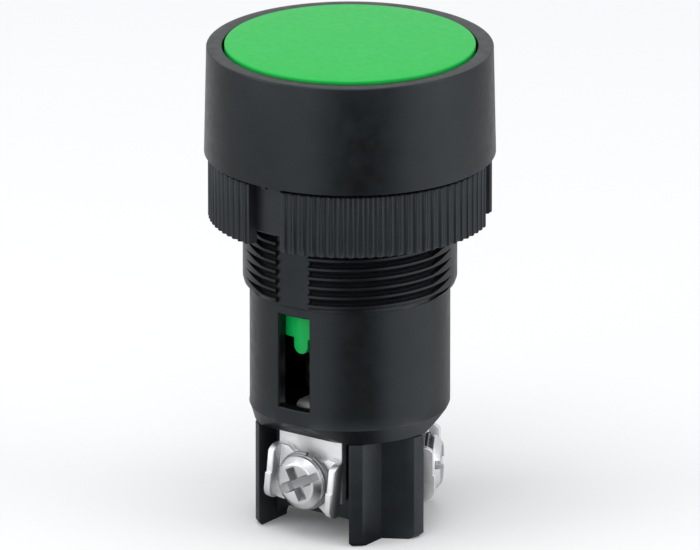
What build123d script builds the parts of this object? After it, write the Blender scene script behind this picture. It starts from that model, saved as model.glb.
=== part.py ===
from build123d import *
from math import asin, degrees, radians, sqrt, tan
import os

# Momentary pushbutton switch for a 22 mm panel hole, with one changeover contact.
# Millimetres. The origin is on the button's axis in the plane of the bezel's
# underside, where the panel's front face lies. +Z points out of the panel.
# Each terminal group is modelled on the -Y side and turned into its place, so
# "near" and "far" are distances from the axis towards -Y.

# Bezel and cap
BEZEL_RADIUS = 14.95
BEZEL_DRAFT = 0.25
BEZEL_HEIGHT = 11.35
BEZEL_EDGE = 0.15
RIM_WIDTH = 1.6
CUP_FLOOR = 2.0
CAP_GAP = 0.25
CAP_PROUD = 0.55
CAP_EDGE = 0.5
CAP_THICKNESS = 1.6
CAP_SKIRT = 1.3
PIP_WIDTH = 0.5
PIP_LENGTH = 1.0
PIP_SPACING = 1.85
PIP_MARGIN = 0.4

# Barrel
BARREL_RADIUS = 11.0
THREAD_LENGTH = 14.25
THREAD_CHAMFER = 0.7
KEYWAY_WIDTH = 3.9
KEYWAY_DEPTH = 0.4
KEYWAY_TURN = 1.9
LOWER_RADIUS = 10.3
LOWER_LENGTH = 12.6
TAPER_RADIUS = 9.8
TAPER_HEIGHT = 1.7
BORE_RADIUS = 9.0
WINDOW_WIDTH = 3.75
WINDOW_HEIGHT = 10.05
WINDOW_DROP = 0.9
WINDOW_TURN = 0.9
HOOD_INSET = 8.2
HOOD_ANGLE = 40.0

# Panel gasket and lock nut
GASKET_THICKNESS = 0.35
GASKET_WIDTH = 2.2
NUT_HEIGHT = 6.45
NUT_HUB_WIDTH = 2.2
NUT_RIM_WIDTH = 1.35
NUT_RECESS = 1.2
NUT_TURN = -2.5
FLUTE_COUNT = 90
FLUTE_DEPTH = 0.28
FLUTE_CREST = 0.3
FLUTE_FLOOR = 0.4
NOTCH_COUNT = 3
NOTCH_FLUTES = 4

# Terminal base
WALL_DROP = 11.0
POCKET_HALF = 5.65
WALL_THICKNESS = 1.1
WALL_RADIUS = 9.9
WALL_CORNER = 0.4
BACK_WALL = 5.0
ARCH_HEIGHT = 1.7
ARCH_CORNER = 1.6
PAD_HALF = 3.4
PLUG_THICKNESS = 1.5
SPRING_POCKET_DEPTH = 3.0
SPRING_POCKET_RADIUS = 3.2

# Terminals and contacts
TERMINAL_AZIMUTHS = {"open": 0, "closed": 120, "common": 240}
PLATE_THICKNESS = 0.8
PLATE_BACK = 6.15
PLATE_HALF = 3.94
PLATE_DROP = 7.1
RISER_HALF = 1.85
ARM_LIFT = 0.8
CONTACT_CIRCLE = 4.6
CONTACT_RADIUS = 0.9
CONTACT_HEIGHT = 0.5
ARM_MARGIN = 0.3
CONTACT_TRAVEL = 2.0
BRIDGE_THICKNESS = 0.5
BRIDGE_HUB = 2.9
BRIDGE_ARM_HALF = 1.2

# Screws, washers and saddle clamps
SCREW_DROP = 4.9
SHANK_RADIUS = 1.75
SCREW_TRAVEL = 1.8
SHANK_SPARE = 0.8
HEAD_RADIUS = 2.85
HEAD_RIM = 0.55
HEAD_CROWN = 0.7
HEAD_FLAT_RADIUS = 2.1
SLOT_WIDTH = 0.85
SLOT_DEPTH = 0.7
SLOT_TURNS = {"open": -27, "closed": 12, "common": 48}
WASHER_RADIUS = 3.1
WASHER_THICKNESS = 0.5
CLAMP_HEIGHT = 5.95
CLAMP_HALF = 4.2
CLAMP_THICKNESS = 0.75
CLAMP_REACH = 2.2
CLAMP_STEP = 0.2
CLAMP_CORNER = 1.3
CLAMP_ARCH = 0.85
CLAMP_ARCH_HALF = 2.5
CLAMP_TILTS = {"open": 6, "closed": 0, "common": -3}

# Plunger and springs
PRESS_TRAVEL = 3.0
PLUNGER_WALL = 1.3
PLUNGER_WEB = 1.5
CORE_RADIUS = 5.0
CORE_LENGTH = 4.1
PIN_RADIUS = 1.2
HOOK_HALF = 2.05
HOOK_THICKNESS = 1.55
HOOK_HEIGHT = 2.7
HOOK_LEG_HALF = 0.85
HOOK_LEG_LENGTH = 1.65
SPRING_RADIUS = 2.2
SPRING_WIRE = 0.22
RETURN_TURNS = 3
CONTACT_TURNS = 2
SPRING_SEAT = 2.0

# Fits
RUNNING_FIT = 0.05
PLUG_FIT = 0.05
SLOT_FIT = 0.08
CONTACT_CLEARANCE = 0.05
FACE_CLEARANCE = 0.03
MOVING_CLEARANCE = 0.4
CUTTER_MARGIN = 1.0

# Heights, downwards from the panel's front face
thread_end = -THREAD_LENGTH
taper_top = thread_end - LOWER_LENGTH
barrel_end = taper_top - TAPER_HEIGHT
wall_end = barrel_end - WALL_DROP
base_floor = barrel_end + PLUG_THICKNESS
spring_floor = base_floor - SPRING_POCKET_DEPTH
plate_end = barrel_end - PLATE_DROP
screw_height = barrel_end - SCREW_DROP
window_top = thread_end - WINDOW_DROP
window_end = window_top - WINDOW_HEIGHT

# Contact levels, upwards from the base's floor
lower_arm = base_floor + ARM_LIFT
lower_arm_top = lower_arm + PLATE_THICKNESS
lower_face = lower_arm_top + CONTACT_HEIGHT
bridge_bottom = lower_face + CONTACT_TRAVEL + CONTACT_CLEARANCE + CONTACT_HEIGHT
bridge_top = bridge_bottom + BRIDGE_THICKNESS
upper_face = bridge_top + CONTACT_HEIGHT + CONTACT_CLEARANCE
upper_arm = upper_face + CONTACT_HEIGHT
upper_arm_top = upper_arm + PLATE_THICKNESS

# Heights of the cap and plunger at rest
cap_top = BEZEL_HEIGHT + CAP_PROUD
cap_under = cap_top - CAP_THICKNESS
cap_bottom = CUP_FLOOR + PRESS_TRAVEL + MOVING_CLEARANCE
core_bottom = upper_arm_top + PRESS_TRAVEL + MOVING_CLEARANCE
core_top = core_bottom + CORE_LENGTH
pin_end = spring_floor + PRESS_TRAVEL + MOVING_CLEARANCE
hook_bottom = window_top - HOOK_HEIGHT

# Distances from the axis
bezel_top_radius = BEZEL_RADIUS - BEZEL_DRAFT
cup_radius = bezel_top_radius - RIM_WIDTH
keyway_floor = BARREL_RADIUS - KEYWAY_DEPTH
gasket_radius = BARREL_RADIUS + GASKET_WIDTH
nut_hub_radius = BARREL_RADIUS + NUT_HUB_WIDTH
nut_radius = nut_hub_radius + NUT_RIM_WIDTH
plunger_radius = BORE_RADIUS - 2 * RUNNING_FIT
plate_face = PLATE_BACK + PLATE_THICKNESS
clamp_back = plate_face + FACE_CLEARANCE
clamp_front = clamp_back + CLAMP_THICKNESS
washer_back = clamp_front + FACE_CLEARANCE
head_back = washer_back + WASHER_THICKNESS + FACE_CLEARANCE
shank_bore = SHANK_RADIUS + RUNNING_FIT
shank_end = PLATE_BACK - SCREW_TRAVEL - SHANK_SPARE
arm_tip = CONTACT_CIRCLE - CONTACT_RADIUS - ARM_MARGIN
bridge_reach = CONTACT_CIRCLE + CONTACT_RADIUS + ARM_MARGIN / 2


def turned(points):
    """Solid of revolution about the Z axis, from (radius, height) points."""
    return revolve(Plane.XZ * make_face(Polyline(*points, close=True)), Axis.Z, 360)


def block(half_width, near, far, low, high):
    """Box on the -Y side, from one distance to another and between two heights."""
    size = (2 * half_width, far - near, high - low)
    return Pos(0, -(near + far) / 2, (low + high) / 2) * Box(*size)


def rod(radius, near, far, height=0):
    """Cylinder that points towards -Y."""
    upright = Cylinder(radius, far - near, align=(Align.CENTER, Align.CENTER, Align.MIN))
    return Pos(0, -near, height) * Rot(90, 0, 0) * upright


def post(radius, low, high, distance=0):
    """Upright cylinder, on the axis or at a distance towards -Y."""
    upright = Cylinder(radius, high - low, align=(Align.CENTER, Align.CENTER, Align.MIN))
    return Pos(0, -distance, low) * upright


def side_profile(points, half_width):
    """Solid from (distance, height) points in the YZ plane, as wide as given both ways."""
    outline = Polyline(*[(-distance, height) for distance, height in points], close=True)
    return extrude(Plane.YZ * make_face(outline), half_width, both=True)


def top_rim(part):
    """The largest circular edge of a turned part's top face."""
    circles = part.edges().filter_by(GeomType.CIRCLE).group_by(Axis.Z)[-1]
    return circles.sort_by(SortBy.RADIUS)[-1]


def hood_cut():
    """Sloping flat that clears a screwdriver's way to a terminal, under the barrel's edge."""
    reach = LOWER_RADIUS + CUTTER_MARGIN
    rise = (reach - HOOD_INSET) * tan(radians(HOOD_ANGLE))
    low = barrel_end - CUTTER_MARGIN
    points = [(HOOD_INSET, low), (reach, low), (reach, barrel_end + rise), (HOOD_INSET, barrel_end)]
    return side_profile(points, POCKET_HALF)


def all_terminals(shape):
    """One copy of a shape at each terminal."""
    return [Rot(0, 0, azimuth) * shape for azimuth in TERMINAL_AZIMUTHS.values()]


# Housing: bezel, threaded barrel and lower barrel in one moulding

def housing_body():
    """Turned form of the housing, with the cap's cup and the plunger's bore."""
    return turned([
        (BORE_RADIUS, barrel_end),
        (TAPER_RADIUS, barrel_end),
        (LOWER_RADIUS, taper_top),
        (LOWER_RADIUS, thread_end),
        (BARREL_RADIUS, thread_end + THREAD_CHAMFER),
        (BARREL_RADIUS, 0),
        (BEZEL_RADIUS, 0),
        (bezel_top_radius, BEZEL_HEIGHT),
        (cup_radius, BEZEL_HEIGHT),
        (cup_radius, CUP_FLOOR),
        (BORE_RADIUS, CUP_FLOOR),
    ])


def grip_pips():
    """Two pips under the bezel that bite into the panel and stop the switch turning."""
    far = BEZEL_RADIUS - PIP_MARGIN
    pip = block(PIP_WIDTH / 2, far - PIP_LENGTH, far, -GASKET_THICKNESS, CUP_FLOOR / 2)
    return [Pos(side * PIP_SPACING / 2, 0, 0) * pip for side in (-1, 1)]


def make_housing():
    housing = housing_body()
    housing = chamfer(top_rim(housing), BEZEL_EDGE)
    housing += [Rot(0, 0, KEYWAY_TURN) * pip for pip in grip_pips()]
    keyway = block(KEYWAY_WIDTH / 2, keyway_floor, BARREL_RADIUS + CUTTER_MARGIN, thread_end, 0)
    window = block(WINDOW_WIDTH / 2, 0, LOWER_RADIUS + CUTTER_MARGIN, window_end, window_top)
    housing -= Rot(0, 0, KEYWAY_TURN) * keyway
    housing -= Rot(0, 0, WINDOW_TURN) * window
    return housing - all_terminals(hood_cut())


# Panel gasket, with a tongue that slides in the keyway

def make_panel_gasket():
    bore = BARREL_RADIUS + RUNNING_FIT
    top = -FACE_CLEARANCE
    gasket = post(gasket_radius, -GASKET_THICKNESS, top) - post(bore, -GASKET_THICKNESS, top)
    tongue_half = KEYWAY_WIDTH / 2 - RUNNING_FIT
    tongue_near = keyway_floor + RUNNING_FIT
    tongue = block(tongue_half, tongue_near, (bore + gasket_radius) / 2, -GASKET_THICKNESS, top)
    return gasket + Rot(0, 0, KEYWAY_TURN) * tongue


# Lock nut: a fluted rim with spanner notches round a plain hub

def flute_points(index):
    """One crest of the nut's rim and the floor of the flute beside it, as four points."""
    pitch = 360 / FLUTE_COUNT
    crest = degrees(FLUTE_CREST / nut_radius)
    floor = degrees(FLUTE_FLOOR / nut_radius)
    start = index * pitch
    middle = start + (pitch + crest) / 2
    crest_ends = [Vector(nut_radius, 0).rotate(Axis.Z, angle) for angle in (start, start + crest)]
    floor_angles = (middle - floor / 2, middle + floor / 2)
    return crest_ends + [Vector(nut_radius - FLUTE_DEPTH, 0).rotate(Axis.Z, angle) for angle in floor_angles]


def notch_cut():
    """Spanner notch, whose sides run through the middle of a flute."""
    half_angle = radians(NOTCH_FLUTES * 180 / FLUTE_COUNT)
    reach = nut_radius + CUTTER_MARGIN
    half_width = reach * tan(half_angle)
    outline = Polyline((0, 0), (half_width, -reach), (-half_width, -reach), close=True)
    sector = Pos(0, 0, -NUT_HEIGHT - CUTTER_MARGIN) * extrude(make_face(outline), NUT_HEIGHT + CUTTER_MARGIN)
    return sector - post(nut_hub_radius, -NUT_HEIGHT - CUTTER_MARGIN, 0)


def make_lock_nut():
    points = [point for index in range(FLUTE_COUNT) for point in flute_points(index)]
    rim = extrude(make_face(Polyline(*points, close=True)), -NUT_HEIGHT)
    nut = rim - post(BARREL_RADIUS + RUNNING_FIT, -NUT_HEIGHT, 0)
    nut -= post(nut_hub_radius, -NUT_HEIGHT, -NUT_HEIGHT + NUT_RECESS)
    nut -= [Rot(0, 0, index * 360 / NOTCH_COUNT) * notch_cut() for index in range(NOTCH_COUNT)]
    nut_top = -GASKET_THICKNESS - FACE_CLEARANCE
    return Pos(0, 0, nut_top) * Rot(0, 0, NUT_TURN) * nut


# Button cap and plunger

def make_button_cap():
    radius = cup_radius - CAP_GAP
    cap = post(radius, cap_bottom, cap_top)
    cap = fillet(top_rim(cap), CAP_EDGE)
    return cap - post(radius - CAP_SKIRT, cap_bottom, cap_under)


def snap_hook():
    """Hook that shows in the window, with a round-ended guide leg below it."""
    near = plunger_radius - HOOK_THICKNESS
    hook_top = core_top + PLUNGER_WEB / 2
    leg_end = hook_bottom - HOOK_LEG_LENGTH
    hook = block(HOOK_HALF, near, BORE_RADIUS, hook_bottom, hook_top)
    hook += block(HOOK_LEG_HALF, near, BORE_RADIUS, leg_end + HOOK_LEG_HALF, hook_bottom)
    hook += rod(HOOK_LEG_HALF, near, BORE_RADIUS, leg_end + HOOK_LEG_HALF)
    return hook & post(plunger_radius, leg_end, hook_top)


def make_plunger():
    inner = plunger_radius - PLUNGER_WALL
    plunger = turned([
        (0, core_bottom + SPRING_SEAT),
        (SPRING_RADIUS + 2 * SPRING_WIRE, core_bottom + SPRING_SEAT),
        (SPRING_RADIUS + 2 * SPRING_WIRE, core_bottom),
        (CORE_RADIUS, core_bottom),
        (CORE_RADIUS, core_top),
        (plunger_radius, core_top),
        (plunger_radius, cap_under),
        (inner, cap_under),
        (inner, core_top + PLUNGER_WEB),
        (0, core_top + PLUNGER_WEB),
    ])
    pin = post(PIN_RADIUS, pin_end, core_top)
    return plunger + pin + Rot(0, 0, WINDOW_TURN) * snap_hook()


# Springs

def coil_spring(low, high, turns):
    """Compression spring of square wire that stands between two heights."""
    length = high - low - 2 * SPRING_WIRE
    coil = Helix(pitch=length / turns, height=length, radius=SPRING_RADIUS)
    wire = Plane(origin=coil @ 0, z_dir=coil % 0) * RegularPolygon(SPRING_WIRE, 4)
    return Pos(0, 0, low + SPRING_WIRE) * sweep(wire, path=coil, is_frenet=True)


# Terminal base: a plug in the barrel and three pockets at equal angles

def pocket_sector():
    """A third of the base's section: two side walls with the back wall between them."""
    outer = POCKET_HALF + WALL_THICKNESS
    root = outer / tan(radians(60))
    outer_end = sqrt(WALL_RADIUS**2 - outer**2)
    inner_end = sqrt(WALL_RADIUS**2 - POCKET_HALF**2)
    middle = radians(90) - (asin(outer / WALL_RADIUS) + asin(POCKET_HALF / WALL_RADIUS)) / 2
    arc_point = Vector(WALL_RADIUS, 0).rotate(Axis.Z, -degrees(middle))
    right = [(0, 0), (outer, -root), (outer, -outer_end)]
    edges = [Line(a, b) for a, b in zip(right, right[1:])]
    edges += [ThreePointArc((outer, -outer_end), arc_point, (POCKET_HALF, -inner_end))]
    edges += [Line((POCKET_HALF, -inner_end), (POCKET_HALF, -BACK_WALL))]
    mirrored = [mirror(edge, Plane.YZ) for edge in edges]
    back = Line((POCKET_HALF, -BACK_WALL), (-POCKET_HALF, -BACK_WALL))
    return make_face(edges + [back] + mirrored)


def arch_cut():
    """Arched opening under the back wall, rounded into the side walls."""
    height = wall_end + ARCH_HEIGHT
    low = wall_end - CUTTER_MARGIN
    width = 2 * POCKET_HALF
    outline = Rectangle(width, height - low, align=(Align.CENTER, Align.MIN))
    outline = fillet(outline.vertices().group_by(Axis.Y)[-1], ARCH_CORNER)
    return extrude(Plane.XZ * Pos(0, low) * outline, BACK_WALL + SLOT_FIT)


def riser_slot():
    """Slot in the plug for a terminal's riser."""
    near = PLATE_BACK - SLOT_FIT
    return block(RISER_HALF + SLOT_FIT, near, plate_face + SLOT_FIT, barrel_end, base_floor)


def make_terminal_base():
    sectors = [Rot(0, 0, azimuth) * pocket_sector() for azimuth in TERMINAL_AZIMUTHS.values()]
    skirt = Pos(0, 0, wall_end) * extrude(sectors[0] + sectors[1:], WALL_DROP)
    wall_tips = skirt.edges().filter_by(GeomType.CIRCLE).group_by(Axis.Z)[0]
    skirt = chamfer(wall_tips, WALL_CORNER)
    plug = post(BORE_RADIUS - PLUG_FIT, barrel_end, base_floor)
    pad = block(PAD_HALF, BACK_WALL, PLATE_BACK, plate_end, barrel_end)
    base = skirt + plug + all_terminals(pad)
    base -= all_terminals(arch_cut())
    base -= all_terminals(hood_cut())
    base -= all_terminals(riser_slot())
    screw_hole = rod(SHANK_RADIUS + MOVING_CLEARANCE, shank_end - MOVING_CLEARANCE, PLATE_BACK, screw_height)
    base -= all_terminals(screw_hole)
    return base - post(SPRING_POCKET_RADIUS, spring_floor, base_floor)


# Terminals

def contact_arm(height):
    """Arm bent inwards from the riser, with its underside at the given height."""
    top = height + PLATE_THICKNESS
    arm = block(RISER_HALF, arm_tip, plate_face, height, top)
    corner = arm.edges().filter_by(Axis.X).sort_by(Axis.Y)[:2].sort_by(Axis.Z)[-1]
    return fillet(corner, PLATE_THICKNESS - FACE_CLEARANCE)


def terminal_plate(arm_heights):
    """Screw plate under the barrel, with a riser into it and an arm at each height."""
    top = max(arm_heights)
    plate = block(PLATE_HALF, PLATE_BACK, plate_face, plate_end, barrel_end - FACE_CLEARANCE)
    plate += block(RISER_HALF, PLATE_BACK, plate_face, barrel_end - FACE_CLEARANCE, top)
    plate += contact_arm(top)
    for height in arm_heights:
        if height < top:
            plate += block(RISER_HALF, arm_tip, PLATE_BACK, height, height + PLATE_THICKNESS)
    return plate - rod(shank_bore, PLATE_BACK - CUTTER_MARGIN, plate_face + CUTTER_MARGIN, screw_height)


def contact_rivet(low):
    """Contact rivet's head, at the contact circle."""
    return post(CONTACT_RADIUS, low, low + CONTACT_HEIGHT, CONTACT_CIRCLE)


# Moving contact

def bridge_rivet():
    """Contact pressed through a bridge arm, with a face on each side."""
    return post(CONTACT_RADIUS, bridge_bottom - CONTACT_HEIGHT, bridge_top + CONTACT_HEIGHT, CONTACT_CIRCLE)


def make_contact_bridge():
    bridge = post(BRIDGE_HUB, bridge_bottom, bridge_top)
    bridge += all_terminals(block(BRIDGE_ARM_HALF, 0, bridge_reach, bridge_bottom, bridge_top))
    bridge -= all_terminals(bridge_rivet())
    return bridge - post(PIN_RADIUS + 2 * RUNNING_FIT, bridge_bottom, bridge_top)


# Screws, washers and saddle clamps

def terminal_screw(slot_turn):
    """Slotted pan-head screw."""
    rim = head_back + HEAD_RIM
    face = rim + HEAD_CROWN
    head = turned([(0, head_back), (HEAD_RADIUS, head_back), (HEAD_RADIUS, rim), (HEAD_FLAT_RADIUS, face), (0, face)])
    screw = Rot(90, 0, 0) * head + rod(SHANK_RADIUS, shank_end, head_back)
    screw -= block(HEAD_RADIUS, face - SLOT_DEPTH, face, -SLOT_WIDTH / 2, SLOT_WIDTH / 2)
    return Pos(0, 0, screw_height) * Rot(0, slot_turn, 0) * screw


def clamp_washer():
    """Flat washer between the screw's head and the clamp."""
    far = washer_back + WASHER_THICKNESS
    washer = rod(WASHER_RADIUS, washer_back, far, screw_height)
    return washer - rod(SHANK_RADIUS + 2 * RUNNING_FIT, washer_back, far, screw_height)


def saddle_clamp(tilt):
    """Bent saddle whose web lies on the plate and whose two ears stand outwards."""
    half_height = CLAMP_HEIGHT / 2
    ear_end = clamp_back + CLAMP_REACH
    clamp = block(CLAMP_HALF, clamp_back, ear_end, -half_height, half_height)
    bends = clamp.edges().filter_by(Axis.Z).group_by(Axis.Y)[-1]
    clamp = fillet(bends, CLAMP_THICKNESS)
    corners = clamp.edges().filter_by(Axis.X).group_by(Axis.Y)[0]
    clamp = fillet(corners, CLAMP_CORNER)
    clamp -= block(CLAMP_HALF - CLAMP_THICKNESS, clamp_front, ear_end, -half_height, half_height)
    clamp -= block(CLAMP_HALF, ear_end - CLAMP_STEP, ear_end, 0, half_height)
    clamp -= rod(SHANK_RADIUS + 2 * RUNNING_FIT, clamp_back, clamp_front)
    arch_radius = (CLAMP_ARCH_HALF**2 + CLAMP_ARCH**2) / (2 * CLAMP_ARCH)
    arch_height = half_height - CLAMP_ARCH + arch_radius
    clamp -= [rod(arch_radius, clamp_back, clamp_front, side * arch_height) for side in (-1, 1)]
    return Pos(0, 0, screw_height) * Rot(0, tilt, 0) * clamp


def save(part, node):
    """Write one named piece, as a single shape without empty wrappers."""
    solids = part.solids()
    export_step(solids[0] if len(solids) == 1 else Compound(solids), f"parts/{node}.step")


def terminal_pieces(kind, arm_heights):
    """Plate, screw, washer and clamp of one terminal, turned into their place."""
    return {
        f"{kind}_terminal": terminal_plate(arm_heights),
        f"{kind}_screw": terminal_screw(SLOT_TURNS[kind]),
        f"{kind}_washer": clamp_washer(),
        f"{kind}_clamp": saddle_clamp(CLAMP_TILTS[kind]),
        f"bridge_rivet_{kind}": bridge_rivet(),
    }


def main():
    os.makedirs("parts", exist_ok=True)
    pieces = {
        "housing": make_housing(),
        "panel_gasket": make_panel_gasket(),
        "lock_nut": make_lock_nut(),
        "button_cap": make_button_cap(),
        "plunger": make_plunger(),
        "terminal_base": make_terminal_base(),
        "contact_bridge": make_contact_bridge(),
        "return_spring": coil_spring(spring_floor, bridge_bottom, RETURN_TURNS),
        "contact_spring": coil_spring(bridge_top, core_bottom + SPRING_SEAT, CONTACT_TURNS),
    }
    arms = {"open": [lower_arm], "closed": [upper_arm], "common": [lower_arm, upper_arm]}
    fixed = {"open": [lower_arm_top], "closed": [upper_face], "common": [lower_arm_top, upper_face]}
    rivet_names = {lower_arm_top: "lower_rivet", upper_face: "upper_rivet"}
    for kind, azimuth in TERMINAL_AZIMUTHS.items():
        group = terminal_pieces(kind, arms[kind])
        for height in fixed[kind]:
            group[f"{kind}_{rivet_names[height]}"] = contact_rivet(height)
        for node, part in group.items():
            pieces[node] = Rot(0, 0, azimuth) * part
    for node, part in pieces.items():
        save(part, node)


main()
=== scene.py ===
# Looks of the momentary pushbutton switch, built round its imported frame.
# Geometry is worked out in millimetres, and becomes metres as each mesh is made.
# Azimuths are in degrees from -Y towards +X, as the terminals are placed.
import bmesh
import bpy
from math import asin, ceil, cos, degrees, pi, radians, sin, tan
from mathutils import Matrix, Vector


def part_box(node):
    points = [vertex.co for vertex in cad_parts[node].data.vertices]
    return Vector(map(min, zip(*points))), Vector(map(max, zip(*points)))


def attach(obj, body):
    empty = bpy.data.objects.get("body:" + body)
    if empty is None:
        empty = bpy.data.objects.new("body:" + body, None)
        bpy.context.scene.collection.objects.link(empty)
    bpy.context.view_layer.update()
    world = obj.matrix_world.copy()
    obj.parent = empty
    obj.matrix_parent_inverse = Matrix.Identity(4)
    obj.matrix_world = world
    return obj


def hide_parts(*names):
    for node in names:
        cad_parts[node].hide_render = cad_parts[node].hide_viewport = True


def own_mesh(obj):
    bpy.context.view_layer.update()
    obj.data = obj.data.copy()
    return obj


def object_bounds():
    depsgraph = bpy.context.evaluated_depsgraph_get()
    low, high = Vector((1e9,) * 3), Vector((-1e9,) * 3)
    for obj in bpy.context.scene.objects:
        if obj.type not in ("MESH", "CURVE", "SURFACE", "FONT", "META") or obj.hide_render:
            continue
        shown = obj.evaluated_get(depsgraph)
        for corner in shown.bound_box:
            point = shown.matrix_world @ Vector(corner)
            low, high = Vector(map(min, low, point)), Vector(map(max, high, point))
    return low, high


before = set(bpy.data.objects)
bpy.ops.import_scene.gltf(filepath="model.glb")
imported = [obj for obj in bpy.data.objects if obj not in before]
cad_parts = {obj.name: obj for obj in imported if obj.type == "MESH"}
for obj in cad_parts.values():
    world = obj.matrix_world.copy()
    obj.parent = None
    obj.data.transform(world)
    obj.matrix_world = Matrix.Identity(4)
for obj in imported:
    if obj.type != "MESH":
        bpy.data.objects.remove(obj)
cad_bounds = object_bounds()

MM = 0.001

# View
CAMERA_AZIMUTH = 35.5
CAMERA_ELEVATION = 18.55
CAMERA_DISTANCE = 2000.0
VIEW_WIDTH = 71.77
VIEW_MIDDLE = -13.44
SENSOR_WIDTH = 36.0

# Floor, lamps, sky and the camera's clipping, in metres and watts
FLOOR_HALF = 4.0
FLOOR_COLOUR = (0.93, 0.93, 0.93)
FLOOR_ROUGHNESS = 0.8
FLOOR_SPECULAR = 0.1
LAMP_DISTANCE = 0.5
SKY_COLOUR = (0.97, 0.985, 1.0)
SKY_STRENGTH = 0.8
CLIP_START = 0.05
CLIP_END = 20.0

# Softboxes: turn from the camera to its right, elevation, width, height and power
SOFTBOXES = {
    "left_softbox": (-75, 22, 0.25, 0.4, 0.6),
    "right_softbox": (70, 22, 0.25, 0.4, 0.5),
    "front_softbox": (-36, 12, 0.1, 0.16, 0.12),
    "top_softbox": (-20, 72, 0.3, 0.3, 0.6),
}

# Light tent painted on the floor as a painted reflection, seen by glossy rays only: brightness at turns
# from the camera to its right, in degrees, with a dark opening on the camera's side
PAINTED_TENT_REFLECTION = (
    (-180, 0.75), (-150, 0.7), (-125, 0.46), (-108, 0.4), (-62, 0.5), (-46, 0.72), (-27, 0.72), (-4, 0.02),
    (26, 0.02), (43, 0.85), (92, 0.88), (112, 0.5), (140, 0.5), (180, 0.75),
)

# Surfaces: noise scales per metre, the grain's height in millimetres, and its strength
MOULDED = {"colour": 350, "roughness": 900, "grain": 9000, "height": 0.006, "strength": 0.35}
POLISHED = {"colour": 260, "roughness": 1200, "grain": 8000, "height": 0.004, "strength": 0.25}
PLATED = {"colour": 400, "roughness": 1200, "grain": 2500, "height": 0.002, "strength": 0.2}
NOISE_DETAIL = 3.0
NOISE_LOW = 0.3
NOISE_HIGH = 0.7
ROUGHNESS_DROP = 0.04
ROUGHNESS_RISE = 0.05
EVEN = (1, 1, 1)
BLACK_TINT = (0.84, 0.94, 1.0)
GLOW = 0.1
GLOW_RADIUS = (0.2, 1.0, 0.3)
GLOW_DEPTH = 0.6

# Terminals
TERMINALS = {"open": 0, "closed": 120, "common": 240}
SECTOR = 120
SECTOR_HALF = SECTOR / 2

# Bezel
BEZEL_DRAFT = 0.25
BEZEL_EDGE = 0.15
BEZEL_FOOT_EDGE = 0.12
BEZEL_STEPS = 5
RIM_WIDTH = 1.6
RIM_EDGE = 0.1
CUP_FLOOR = 2.0
PIP_SPACING = 1.85
PIP_HALF = 0.25
PIP_INNER_INSET = 1.4
PIP_OUTER_INSET = 0.4
PIP_LOW = -0.35
PIP_HIGH = 1.0

# Barrel, its keyway and its window
BARREL_RADIUS = 11.0
THREAD_END = -14.25
KEYWAY_HALF = 1.95
KEYWAY_FLOOR = 10.6
KEYWAY_TURN = 1.9
KEYWAY_LINES = (-KEYWAY_HALF, -1.4, -0.7, 0.0, 0.7, 1.4, KEYWAY_HALF)
LOWER_RADIUS = 10.3
TAPER_TOP = -26.85
TAPER_RADIUS = 9.8
BARREL_END = -28.55
RIDGE_HEIGHT = 0.05
BORE_RADIUS = 9.0
WINDOW_HALF = 1.875
WINDOW_TOP = -15.15
WINDOW_END = -25.2
WINDOW_EDGE = 0.12
WINDOW_TURN = 0.9
KEYWAY_OUTER = KEYWAY_HALF + WINDOW_EDGE

# Hoods over the terminals: sloping cuts that start at an inset from the axis
HOOD_INSET = 8.2
HOOD_ANGLE = 40.0
HOOD_HALF = 5.65
HOOD_EDGE = 0.1
HOOD_EDGE_AZIMUTH = degrees(asin(HOOD_HALF / LOWER_RADIUS))
HOOD_SEARCH_TOP = TAPER_TOP + 1
HOOD_SEARCH_STEPS = 30

# Grid of the housing: degrees between its columns, and rows from the window's outside to its bore side
COLUMN_STEP = 1.2
ROWS_WINDOW_TO_BORE = 9
HOUSING_SHARP = 32

# Thread, which fades out beside the two seams of the mould
PITCH = 1.0
THREAD_DEPTH = 0.6
THREAD_CREST = 0.24
THREAD_FLANK = 0.75
THREAD_SHELF = 0.08
THREAD_SHELF_SHARE = 0.3
THREAD_PHASE = 0.45
THREAD_FADE_GAP = 0.35
PARTING_AZIMUTH = 87.8
PARTING_DEPTH = 0.05
PARTING_HALF = 0.2
SEAM_AZIMUTHS = (-56.5, 123.5)
SEAM_HALF = 17.0
SEAM_FADE = 20.0

# Lock nut
FLUTE_COUNT = 90
FLUTE_DEPTH = 0.26
FLUTE_CREST = 0.16
FLUTE_SHARES = (0.06, 0.16, 0.32, 0.5, 0.68, 0.84, 0.94)
FLUTE_FULLNESS = 0.6
NUT_RADIUS = 14.55
NUT_HUB_RADIUS = 13.2
NUT_BORE_RADIUS = 11.05
NUT_RECESS = 1.2
NUT_EDGE = 0.1
NUT_TURN = -2.5
NUT_GROOVE_DEPTH = 0.35
NUT_THREAD_CREST = 0.4
NUT_SHARP = 40
NOTCH_HALF_ANGLE = 8.0

# Cap, with a small hole at its middle that its weld closes
CAP_EDGE = 0.16
CAP_CROWN = 0.28
CAP_CROWN_SHARES = (0.2, 0.4, 0.6, 0.8)
CAP_SKIRT = 1.3
CAP_SKIRT_EDGE = 0.1
CAP_FILLET = 0.3
CAP_THICKNESS = 1.6
CAP_STEPS = 6
CAP_SEGMENTS = 180
CAP_POLE = 0.001
CAP_WELD = 0.002
CAP_SHARP = 40

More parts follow.
